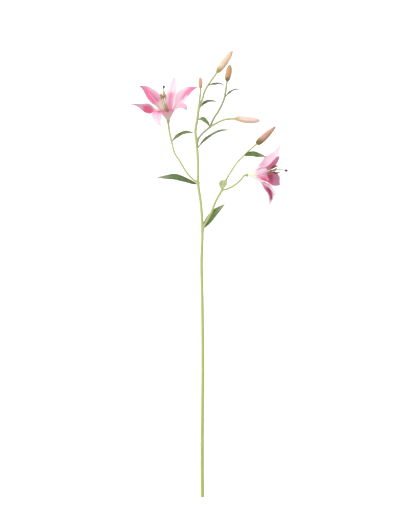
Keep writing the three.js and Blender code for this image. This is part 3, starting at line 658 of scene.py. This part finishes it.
def bud_finish(name, ripe, flush, painted_shade, painted_light, tip, foot, green_share):
    """ripe is the skin, flush its ribs, then painted shade for its darker side and painted light for its
    paler side, tip and foot its two ends.
    """
    finish = Finish(name, soft=0.12, Specular_IOR_Level=0.35)
    around, latitude, _ = finish.uv()
    along = latitude.step(0, 1)
    streaks = finish.noise(finish.vector(around * 40, along * 1.5), 1.0, 3.0)
    mottle = finish.noise(finish.place(), 90.0, 3.0)
    rib = (around * (6 * math.pi) + math.pi).cosine()
    ragged = along + (streaks - 0.5) * 0.3
    edge = abs(around - 0.5) + (streaks - 0.5) * 0.12
    skin = finish.mix(rib * 0.4 + 0.4, ripe, flush)
    # Painted light on one side of each bud, and painted shade on the other.
    skin = finish.mix(edge.step(0.34, 0.5) * 0.8, skin, painted_light)
    skin = finish.mix((1 - edge.step(0.02, 0.26)) * 0.9, skin, painted_shade)
    skin = finish.mix(streaks.step(0.45, 0.8) * 0.3, skin, BUD_STREAK)
    skin = finish.mix(mottle.step(0.45, 0.8) * 0.3, skin, foot)
    skin = finish.mix(ragged.step(0.8, 1.0) * 0.85, skin, tip)
    skin = finish.mix((1 - (rib + 1).step(0.0, 0.12)) * 0.5, skin, foot)
    skin = finish.mix((1 - ragged.step(green_share * 0.4, green_share)) * 0.95, skin, foot)
    finish.surface(skin, mottle * 0.2 + 0.42, streaks, 0.0004, 0.5)
    return finish


BUD_SIDES = 96
BUD_RINGS = 60
BUD_SUNK = 0.6
BLUNT_SHARE = 0.03
# Each bud has its tip, its width, how fast it widens and narrows, and its skin.
buds = {
    "top_bud": ((71.1, 1051.5, 63), 16.5, 0.5, 0.6, bud_finish(
        "bud_top", (0.68, 0.53, 0.37), (0.66, 0.44, 0.32), (0.45, 0.37, 0.28), (0.66, 0.50, 0.38),
        (0.50, 0.30, 0.24), (0.31, 0.24, 0.055), 0.3)),
    "upper_right_bud": ((64.7, 1018.6, 63), 15, 0.5, 0.5, bud_finish(
        "bud_upper", (0.50, 0.28, 0.12), (0.50, 0.24, 0.12), (0.36, 0.25, 0.15), (0.72, 0.58, 0.32),
        (0.40, 0.24, 0.14), (0.13, 0.10, 0.035), 0.36)),
    "small_bud": ((-4.9, 990, 52.5), 10, 0.5, 0.5, bud_finish(
        "bud_small", (0.56, 0.30, 0.20), (0.55, 0.24, 0.17), (0.46, 0.31, 0.25), (0.66, 0.33, 0.25),
        (0.42, 0.30, 0.25), (0.30, 0.24, 0.11), 0.35)),
    "level_bud": ((135.8, 888.2, 45), 16, 0.5, 0.5, bud_finish(
        "bud_level", (0.68, 0.55, 0.49), (0.68, 0.46, 0.45), (0.40, 0.28, 0.17), (0.62, 0.46, 0.45),
        (0.48, 0.36, 0.33), (0.45, 0.35, 0.13), 0.26)),
    "right_bud": ((172.8, 874.5, 58), 16, 0.38, 0.75, bud_finish(
        "bud_right", (0.50, 0.29, 0.205), (0.53, 0.24, 0.21), (0.22, 0.145, 0.09), (0.63, 0.31, 0.28),
        (0.22, 0.14, 0.12), (0.145, 0.12, 0.028), 0.38)),
}
for name, (tip, width, rise, taper, finish) in buds.items():
    foot = routes[name].at(1)
    outward = routes[name].heading(1)
    start = foot - BUD_SUNK * outward
    gap = np.linalg.norm(np.array(tip) - start)
    spine = Route([start, start + 0.15 * gap * outward, (start + tip) / 2, tip])
    widest = (1.012 * rise - 0.04 * taper) / (rise + taper)

    def bud_radius(along, around, width=width, rise=rise, taper=taper, widest=widest):
        def shape(u):
            return (u + 0.04) ** rise * (1.012 - u) ** taper

        blunt = np.sqrt(1 - np.clip(1 - np.minimum(along, 1 - along) / BLUNT_SHARE, 0, 1) ** 2)
        ribs = blunt + 0.05 * blunt * np.cos(3 * around)
        seam = -0.045 * np.exp(-((np.abs((3 * around / (2 * math.pi)) % 1 - 0.5)) / 0.03) ** 2)
        keel = 0.02 * np.exp(-((((3 * around / (2 * math.pi)) + 0.5) % 1 - 0.5) / 0.05) ** 2)
        depth = smoothstep(0.0, 0.15, along)
        return width / 2 * shape(along) / shape(widest) * (ribs + (seam + keel) * depth)

    close_at_ends = 0.5 - 0.5 * np.cos(math.pi * np.linspace(0, 1, BUD_RINGS + 1))
    bud_skin = round_body(f"{name}_skin", finish, spine, bud_radius, BUD_SIDES, BUD_RINGS, close_at_ends)
    shown(bud_skin, "bud_peach", name)


# Open blooms. Six thin tepals make a funnel at the foot and then part and curl back: three inside, and three
# outside that the others lap. Their inner side has deep pink bands and a throat with raised crimson dots.
def in_bloom(bloom, points):
    points = np.asarray(points)
    frame_rows = np.stack([bloom["right"], bloom["down"], bloom["axis"]])
    return bloom["base"] + points @ frame_rows


TEPAL_THICKNESS = 0.8
TEPAL_MARGIN = 0.45
TEPAL_ROWS, TEPAL_COLUMNS = 57, 23
LAYER_OFFSET = 0.45
MIDRIB_DEPTH = 1.2
MARGIN_LAP = 1
MARGIN_GAP = 0.6
RUFFLE = 2.2
RUFFLE_WAVES = 2.3
CRIMP = 0.45
FURROW = 0.12
FUNNEL = [(3, 0.9), (5.4, 6), (12, 17.5), (19.5, 28)]

# Pigments of the petals, from nearly white to wine red.
WHITE_PINK = (0.68, 0.60, 0.65)
PALE_PINK = (0.62, 0.42, 0.51)
SOFT_PINK = (0.62, 0.30, 0.43)
CLEAR_PINK = (0.74, 0.30, 0.44)
PINK = (0.60, 0.17, 0.32)
ROSE = (0.54, 0.085, 0.18)
WINE = (0.29, 0.03, 0.085)
MAUVE = (0.46, 0.20, 0.29)
GREY_MAUVE = (0.50, 0.29, 0.38)
CREAM = (0.68, 0.52, 0.48)
DUSTY = (0.60, 0.32, 0.33)
TAN = (0.47, 0.42, 0.33)
IVORY = (0.68, 0.68, 0.58)
LEAF_LINE = (0.40, 0.45, 0.18)


def washed(finish, colour, side, along, ragged, washes):
    """Lays washes on a petal: pigment, strength, middle and reach across it, start and end along it."""
    for pigment, strength, middle, reach, start, end in washes:
        near = 1 - (abs(side - middle) + ragged).step(0.4 * reach, 1.1 * reach)
        passed = along + ragged * 0.3
        inside = passed.step(start - 0.06, start + 0.06) * (1 - passed.step(end - 0.06, end + 0.06))
        colour = finish.mix(near * inside * strength, colour, pigment)
    return colour


def petal_finish(name, ground, washes, deep, freckled):
    """One side of a petal. deep is the pigment of its darker veins, and freckled shows its spots or not."""
    finish = Finish(name, soft=0.12, Specular_IOR_Level=0.18)
    across, along, _ = finish.uv()
    place = finish.place()
    side = 1 - across * 2
    cloud = finish.noise(place, 55.0, 3.0)
    veins = finish.noise(finish.vector(across * 34, along * 2.2), 1.0, 3.0)
    ragged = (cloud - 0.5) * 0.35 + (veins - 0.5) * 0.35
    skin = finish.mix(cloud.step(0.3, 0.75) * 0.2, ground, PALE_PINK)
    skin = washed(finish, skin, side, along, ragged, washes)
    skin = finish.mix(veins.step(0.52, 0.85) * along.step(0.1, 0.4) * 0.45, skin, deep)
    skin = finish.mix((1 - veins.step(0.2, 0.46)) * along.step(0.1, 0.4) * 0.2, skin, WHITE_PINK)
    keel = 1 - abs(side).step(0.03, 0.1)
    skin = finish.mix(keel * (1 - along.step(0.25, 0.5)) * 0.7, skin, LEAF_LINE)
    spots = finish.node("ShaderNodeTexVoronoi", {}, {"Vector": place, "Scale": 480.0})
    throat = along.step(0.18, 0.26) * (1 - along.step(0.42, 0.6)) * (1 - abs(side).step(0.4, 0.8))
    spots = (1 - spots.step(0.1, 0.24)) * throat * freckled
    skin = finish.mix(spots * 0.55, skin, WINE)
    finish.surface(skin, veins * 0.15 + 0.45, veins * 0.6 + spots, 0.0006, 0.6)
    return finish


# Each tepal has its turn round the bloom, half its width and how that runs out, the route of its midrib
# beyond the funnel, the phase of its ruffles, its twist in degrees at the middle and the tip, its sweep
# sideways, and the ground and washes of its two sides. Feet and laps are washes where the petals join.
# A few washes in these tables are painted shade; each is marked where it stands.
tan_foot = [(DUSTY, 0.85, 0, 3, 0.12, 0.32), (TAN, 1, 0, 3, -1, 0.16)]
ivory_foot = [(IVORY, 1, 0, 3, -1, 0.24)]
blooms["left"]["laps"] = [(TAN, 1, 1, 0.5, -1, 0.1), (TAN, 1, -1, 0.5, -1, 0.1)]
blooms["right"]["laps"] = [(IVORY, 1, 1, 0.5, -1, 0.3), (IVORY, 1, -1, 0.5, -1, 0.3)]
blooms["left"]["tepals"] = [
    dict(turn=18, outside=True, half_width=15, taper=0.85, skew=-0.3,
         reach=[(32, 40), (47, 55), (62, 65), (80, 69)], wave=0.4, twist=(52, 20),
         inner=(WHITE_PINK, [(PALE_PINK, 0.8, 0.3, 0.9, 0.3, 0.7), (SOFT_PINK, 0.8, 0, 3, 0.15, 0.33),
                             (PINK, 0.95, -0.4, 1.2, 0.69, 2), (PINK, 0.8, -0.05, 0.4, 0.55, 0.78),
                             (PINK, 0.9, 0, 3, 0.81, 2)]),
         outer=(PALE_PINK, tan_foot)),
    dict(turn=72, half_width=11.5, taper=0.75,
         reach=[(30, 42), (42, 60), (53, 75), (62, 88)], wave=0, twist=(0, 10), sweep=-7,
         inner=(WHITE_PINK, [(ROSE, 1, 0, 3, -1, 0.3), (CLEAR_PINK, 0.8, 0, 3, 0.24, 0.36),
                             (CLEAR_PINK, 0.9, -0.05, 0.9, 0.3, 0.63), (PINK, 0.5, 0, 0.25, 0.34, 0.62)]),
         outer=(PALE_PINK, tan_foot)),
    dict(turn=140, outside=True, half_width=17.5, taper=1.1, skew=0.2,
         reach=[(33, 43), (49, 60), (65, 72), (81, 76)], wave=0.2, twist=(-25, -35),
         inner=(PALE_PINK, [(ROSE, 1, 0, 3, -1, 0.24), (CREAM, 0.9, -0.3, 2.5, 0.24, 0.42),
                            (PINK, 1, 0.4, 1.3, 0.42, 2), (ROSE, 0.5, 0.2, 0.25, 0.32, 0.95),
                            (ROSE, 0.5, 0.85, 0.5, 0.58, 2), (CREAM, 0.55, 0.02, 0.12, 0.34, 0.7),
                            (ROSE, 0.3, -0.18, 0.2, 0.4, 0.8), (MAUVE, 0.9, 0.2, 2, 0.8, 2)]),
         outer=(PALE_PINK, tan_foot)),
    dict(turn=192, half_width=15, rise=1.6, taper=2.5, skew=-0.1,
         reach=[(34, 34), (54, 42), (76, 52), (98, 55)], wave=0.6, twist=(-62, -50),
         # The rose band on one half of the inner side is partly the tepal's own deep pink and partly painted
         # shade on that half.
         inner=(GREY_MAUVE, [(WHITE_PINK, 0.95, 0, 3, 0.1, 0.39), (ROSE, 1, 0.4, 1.1, 0.39, 0.63),
                             (WINE, 0.25, 0.45, 0.35, 0.44, 0.58)]),
         outer=(GREY_MAUVE, tan_foot)),
    dict(turn=240, outside=True, half_width=17, taper=1.2, skew=0.35,
         reach=[(31, 34), (45, 33), (56, 23), (56, 9), (46, -1)], wave=0.1, sweep=16,
         inner=(WHITE_PINK, [(PALE_PINK, 0.7, 0, 3, 0.58, 0.74), (SOFT_PINK, 0.95, 0, 3, 0.33, 0.62),
                             (PINK, 0.35, 0.2, 2, 0.36, 0.6), (ROSE, 1, 0.6, 1.7, 0.15, 0.52),
                             (PINK, 0.4, 0, 0.15, 0.4, 0.8), (ROSE, 0.9, 0.7, 1.2, 0.25, 0.52)]),
         # The mauve wash near the foot on one margin of the outer side is painted shade.
         outer=(SOFT_PINK, [(ROSE, 0.5, 0, 3, 0.24, 0.6), *tan_foot, (MAUVE, 0.4, -0.8, 0.7, 0.1, 0.3)])),
    dict(turn=314, half_width=15, taper=0.75,
         reach=[(33, 38), (49, 45), (61, 44), (66, 37)], wave=0.8, twist=(12, 12),
         inner=(PALE_PINK, [(ROSE, 0.8, 0, 3, 0.2, 0.54), (SOFT_PINK, 0.6, 0, 3, 0.54, 2)]),
         outer=(PALE_PINK, [(SOFT_PINK, 0.95, 0, 3, 0.3, 0.6), (ROSE, 0.6, 0, 3, 0.34, 0.56), *tan_foot])),
]
blooms["right"]["tepals"] = [
    dict(turn=14, outside=True, half_width=14, taper=0.9,
         reach=[(33, 40), (46, 47), (62, 48), (75, 43), (82, 38)], wave=0.5, twist=(28, 20),
         inner=(PALE_PINK, [(WHITE_PINK, 0.8, 0, 3, 0.2, 0.34), (PINK, 0.85, 0, 2.2, 0.35, 0.62),
                            (WINE, 1, -0.05, 0.7, 0.5, 0.86), (WHITE_PINK, 0.85, 0, 3, 0.86, 2)]),
         outer=(SOFT_PINK, ivory_foot)),
    dict(turn=66, half_width=21, taper=0.65, skew=-0.12,
         reach=[(31, 43), (45, 57), (56, 65), (64, 62)], wave=0.9,
         inner=(SOFT_PINK, [(ROSE, 1, 0.2, 2, 0.32, 0.72), (WINE, 0.8, 0.6, 1.2, 0.4, 0.72),
                            (MAUVE, 0.9, 0, 3, 0.68, 0.92), (WINE, 0.3, 0.4, 1.4, 0.62, 0.86),
                            (GREY_MAUVE, 0.6, 0, 3, 0.92, 2)]),
         outer=(MAUVE, ivory_foot)),
    dict(turn=126, outside=True, half_width=15, taper=0.75, skew=0.15,
         reach=[(31, 43), (45, 58), (55, 68), (62, 72)], wave=0.2,
         inner=(MAUVE, [(WHITE_PINK, 1, 0, 3, 0.1, 0.5), (ROSE, 0.35, 0, 0.8, 0.58, 0.85),
                       (ROSE, 0.45, -0.9, 1, 0.55, 2)]),
         outer=(MAUVE, ivory_foot)),
    dict(turn=202, half_width=12.8, taper=0.9, skew=-0.5,
         reach=[(30, 43), (41, 60), (53, 78), (69, 92)], wave=0.3, twist=(40, 40),
         inner=(WHITE_PINK, [(PINK, 0.6, 0, 0.6, 0.3, 0.6)]),
         outer=(WHITE_PINK, [(PALE_PINK, 0.85, 0, 3, 0.33, 0.74), (PALE_PINK, 0.35, 0, 3, 0.7, 2),
                             (SOFT_PINK, 0.9, 0.25, 0.9, 0.33, 0.5), (CLEAR_PINK, 0.5, -0.1, 0.4, 0.4, 0.62),
                             *ivory_foot])),
    dict(turn=279, outside=True, half_width=15, taper=0.85,
         reach=[(31, 41), (45, 55), (60, 59), (72, 49), (77, 38)], wave=0.7, sweep=-9,
         inner=(PALE_PINK, [(PINK, 0.8, 0.2, 1.3, 0.56, 0.86), (WINE, 1, 0.6, 1.2, 0.48, 0.76),
                            (PINK, 0.8, 0.9, 0.6, 0.7, 2)]),
         outer=(PALE_PINK, [(SOFT_PINK, 0.9, 0.8, 0.7, 0.22, 0.4), (ROSE, 1, 0.9, 0.8, 0.36, 0.6),
                             (WINE, 0.3, 1, 0.5, 0.46, 0.6), *ivory_foot])),
    dict(turn=324, half_width=14, taper=0.85,
         reach=[(31, 43), (46, 57), (60, 66), (71, 69)], wave=0.1, twist=(35, 35),
         inner=(WHITE_PINK, [(CLEAR_PINK, 0.7, -0.4, 1.5, 0.3, 0.7), (PALE_PINK, 0.6, -0.7, 0.9, 0.6, 0.86)]),
         outer=(SOFT_PINK, [(WHITE_PINK, 0.8, 0, 3, 0.22, 0.5), *ivory_foot])),
]


def tepal_points(bloom, shape, shares, index):
    """Middle surface of one tepal. shares are half its angles to its neighbours, filled in the funnel."""
    turn = math.radians(shape["turn"])
    radial = np.array([math.cos(turn), math.sin(turn), 0])
    axis = np.array([0, 0, 1.0])
    around = np.cross(axis, radial)
    midrib = Route(FUNNEL + shape["reach"], even=True)
    along = np.linspace(0, 1, TEPAL_ROWS)
    across = np.linspace(-1, 1, TEPAL_COLUMNS)
    at = midrib.at(along)
    tangent = midrib.heading(along)
    flat_face = -tangent[:, 1:] * radial + tangent[:, :1] * axis
    layer = LAYER_OFFSET if shape.get("outside") else 0
    centre = at[:, :1] * radial + at[:, 1:] * axis - layer * flat_face
    centre += (shape.get("sweep", 0) * smoothstep(0.35, 1.25, along))[:, None] * around
    distance = centre @ radial
    middle, end = shape.get("twist", (0, 0))
    turned = middle * smoothstep(0.3, 0.6, along) + (end - middle) * smoothstep(0.6, 0.95, along)
    turned = np.radians(turned)[:, None]
    side = around * np.cos(turned) + flat_face * np.sin(turned)
    face = flat_face * np.cos(turned) - around * np.sin(turned)
    lap = MARGIN_LAP - (MARGIN_LAP + MARGIN_GAP) * smoothstep(13, 19, distance)
    free = np.maximum(0.3, outline(along, shape["half_width"], shape.get("rise", 0.8), shape["taper"]))
    sides = free[:, None] * (1 + np.array([1, -1]) * shape.get("skew", 0))
    widths = np.minimum(sides, distance[:, None] * shares + lap[:, None])
    spread = np.abs(across)
    u = along[:, None]
    groove = -MIDRIB_DEPTH * np.exp(-(spread / 0.2) ** 2) * smoothstep(0.05, 0.3, u)
    phase = 2 * math.pi * (RUFFLE_WAVES * u + shape["wave"]) + np.where(across > 0, 0, 2)
    loose = smoothstep(0.35, 0.55, u) * (1 - u ** 3)
    ruffle = RUFFLE * spread ** 3 * np.sin(phase) * loose
    crimp = CRIMP * spread ** 6 * np.sin(4.7 * phase + 1.3 * index) * loose
    furrows = FURROW * np.cos(7.5 * math.pi * across) * smoothstep(0.2, 0.45, u) * (1 - u ** 2)
    bend = np.maximum(0, tangent[:, 1]) / distance
    heights = groove + ruffle + crimp + furrows
    return in_bloom(bloom, blade_grid(centre, side, face, widths, bend, heights, across))


for bloom_name, bloom in blooms.items():
    turns = [shape["turn"] for shape in bloom["tepals"]]
    for index, shape in enumerate(bloom["tepals"]):
        before = (shape["turn"] - turns[index - 1]) % 360 / 2
        after = (turns[(index + 1) % 6] - shape["turn"]) % 360 / 2
        points = tepal_points(bloom, shape, np.radians([before, after]), index)
        name = f"{bloom_name}_tepal_{index + 1}"
        ground, washes = shape["inner"]
        finishes = [petal_finish(f"{name}_inner", ground, washes + bloom["laps"], PINK, 1),
                    petal_finish(f"{name}_outer", *shape["outer"], SOFT_PINK, 0)]
        tepal_skin = sheet(f"{name}_skin", placed(points), TEPAL_THICKNESS * MM, TEPAL_MARGIN, finishes)
        shown(tepal_skin, "petal_pink", name)


# Pistil of each bloom. A ribbed green ovary runs on as a long style and ends in a brown stigma of three
# lobes. It grew as one piece.
OVARY_RADIUS = 2.3
OVARY_LENGTH = 22
STYLE_RADIUS = 1.1
STIGMA_RADIUS = 3.4
STIGMA_LENGTH = 5
STYLE_DARK = (0.28, 0.29, 0.10)
STYLE_PALE = (0.40, 0.41, 0.19)
OVARY_GREEN = (0.25, 0.30, 0.08)
STIGMA_BROWN = (0.10, 0.052, 0.036)
PISTIL_RINGS = [0, 0.08, 0.16, 0.24, 0.32, 0.46, 0.6, 0.74, 0.85, 0.9, 0.92, 0.94, 0.955, 0.97, 0.98, 0.99, 1]
blooms["left"]["sway"] = [(-5, 2, 42), (-6, 3, 64), (-2.5, 2, 87)]
blooms["right"]["sway"] = [(-2, -1, 45), (-5, -1, 76), (0.5, -1, 97)]
pistil_finish = Finish("pistil_green", soft=0.15)
around, along, _ = pistil_finish.uv()
specks = pistil_finish.noise(pistil_finish.place(), 700.0, 2.0)
grain = pistil_finish.noise(pistil_finish.vector(around * 20, along * 6), 1.0)
green = pistil_finish.mix(grain.step(0.3, 0.7), STYLE_DARK, STYLE_PALE)
green = pistil_finish.mix(1 - along.step(0.18, 0.26), green, OVARY_GREEN)
on_stigma = along.step(0.62, 0.66)
green = pistil_finish.mix(on_stigma, green, STIGMA_BROWN)
pistil_finish.surface(green, specks * 0.3 + 0.35, specks * on_stigma, 0.0008, 0.8)
for bloom_name, bloom in blooms.items():
    bloom["pistil"] = Route([(0, 0, 0.3), (0, 0, OVARY_LENGTH), *bloom["sway"]])
    length = bloom["pistil"].length

    def pistil_radius(along, around, length=length):
        on_ovary = 1 - smoothstep(0.75, 1.25, along * length / OVARY_LENGTH)
        start = 1 - STIGMA_LENGTH / length
        on_stigma = smoothstep(start - 0.04, start + 0.01, along)
        foot = 0.75 + 0.25 * smoothstep(0, 0.06, along)
        ribs = 1 + 0.07 * on_ovary * np.cos(6 * around)
        shaft = (STYLE_RADIUS + on_ovary * (OVARY_RADIUS - STYLE_RADIUS)) * foot * ribs
        lobes = 0.84 + 0.16 * np.cos(3 * around)
        dome = np.sqrt(np.clip(1 - ((along - start) / (1 - start)) ** 4, 0.0, 1))
        return (shaft + on_stigma * (STIGMA_RADIUS - STYLE_RADIUS) * lobes) * np.where(along > start, dome, 1)

    skin_route = Route(in_bloom(bloom, bloom["pistil"].samples[::20]))
    name = f"{bloom_name}_pistil"
    pistil = round_body(f"{name}_skin", pistil_finish, skin_route, pistil_radius, 36, 80, PISTIL_RINGS)
    shown(pistil, "pistil_green", name)


# Stamens. A thin green filament carries its anther by one point, so the anther hangs askew. It is split along
# its length in two sacs, thick with brown pollen. Each has its turn, its spread, its height and its lean.
STAMEN_COUNT = 6
FILAMENT_RADIUS = 0.6
FILAMENT_FOOT = 5
ANTHER_RADIUS = 1.75
ANTHER_LENGTH = 18
STAMEN_GAP = 0.3
THREAD_DARK = (0.27, 0.28, 0.075)
THREAD_PALE = (0.42, 0.41, 0.18)
blooms["left"]["stamens"] = lambda i: (
    20 + 60 * i, 1.8 + 0.6 * math.cos(2.1 * i), 57 + 3 * math.cos(1.7 * i), 11 + 3 * math.sin(2.3 * i))
blooms["right"]["stamens"] = lambda i: (
    10 + 60 * i, 4.2 + 1.4 * math.cos(1.9 * i), 61 + 3 * math.cos(2.6 * i), 13 + 4 * math.sin(1.3 * i + 1))
filament_finish = Finish("filament_green", soft=0.2)
thread_tint = filament_finish.noise(filament_finish.place(), 60.0)
thread_green = filament_finish.mix(thread_tint.step(0.3, 0.7), THREAD_DARK, THREAD_PALE)
filament_finish.surface(thread_green, thread_tint * 0.2 + 0.4)


def pollen(name, dark, light):
    finish = Finish(name)
    place = finish.place()
    grains = finish.node("ShaderNodeTexVoronoi", {}, {"Vector": place, "Scale": 2200.0})
    clumps = finish.noise(place, 420.0, 4.0)
    brown = finish.mix(clumps.step(0.35, 0.7), dark, light)
    finish.surface(brown, grains * 0.1 + 0.85, grains * 0.4 + clumps, 0.0006, 0.9)
    return finish


blooms["left"]["pollen"] = pollen("pollen_left", (0.31, 0.19, 0.075), (0.56, 0.41, 0.19))
blooms["right"]["pollen"] = pollen("pollen_right", (0.11, 0.042, 0.03), (0.25, 0.115, 0.065))
for bloom_name, bloom in blooms.items():
    for index in range(STAMEN_COUNT):
        turn, spread, height, lean = bloom["stamens"](index)
        radial = np.array([math.cos(math.radians(turn)), math.sin(math.radians(turn)), 0])
        sideways = np.cross([0, 0, 1], radial)
        foot = OVARY_RADIUS + FILAMENT_RADIUS + STAMEN_GAP
        steps = [(foot, FILAMENT_FOOT), (foot + 0.15 * spread, 0.3 * height),
                 (foot + 0.45 * spread, 0.7 * height), (foot + spread, height)]
        path = Route([bloom["pistil"].at(h / bloom["pistil"].length) + r * radial for r, h in steps])
        tip, forward = path.at(1), path.heading(1)
        tilt = math.radians(lean)
        beside = tip + sideways * (0.9 * ANTHER_RADIUS + FILAMENT_RADIUS + STAMEN_GAP)
        lengthwise = forward * math.cos(tilt) + sideways * math.sin(tilt)
        spine = Route([beside + (part + 0.25) * ANTHER_LENGTH * lengthwise - 6 * part * part * radial
                       for part in (-0.5, 0, 0.5)])
        neck = Route([*[path.at(share) for share in (0, 0.25, 0.5, 0.75, 0.93)], beside - 0.6 * radial])

        def filament_radius(along, around):
            return FILAMENT_RADIUS * (1 - 0.3 * along) * np.where(along > 0.985, 0.6, 1)

        def anther_radius(along, around):
            belly = 0.25 + 0.75 * np.sin(math.pi * np.clip(along, 0.001, 0.999)) ** 0.6
            within = smoothstep(0, 0.1, along) * smoothstep(1, 0.9, along)
            slit = -0.28 * np.exp(-(np.sin(around) / 0.28) ** 2) * within
            return ANTHER_RADIUS * belly * (1 + 0.1 * np.cos(2 * around + math.pi) + slit)

        name = f"{bloom_name}_filament_{index + 1}"
        neck = Route(in_bloom(bloom, neck.samples[::16]))
        filament = round_body(f"{name}_skin", filament_finish, neck, filament_radius, 12, 30)
        shown(filament, "filament_green", name)
        name = f"{bloom_name}_anther_{index + 1}"
        spine = Route(in_bloom(bloom, spine.samples[::16]))
        anther = round_body(f"{name}_skin", bloom["pollen"], spine, anther_radius, 28, 26)
        shown(anther, "anther_brown", name)
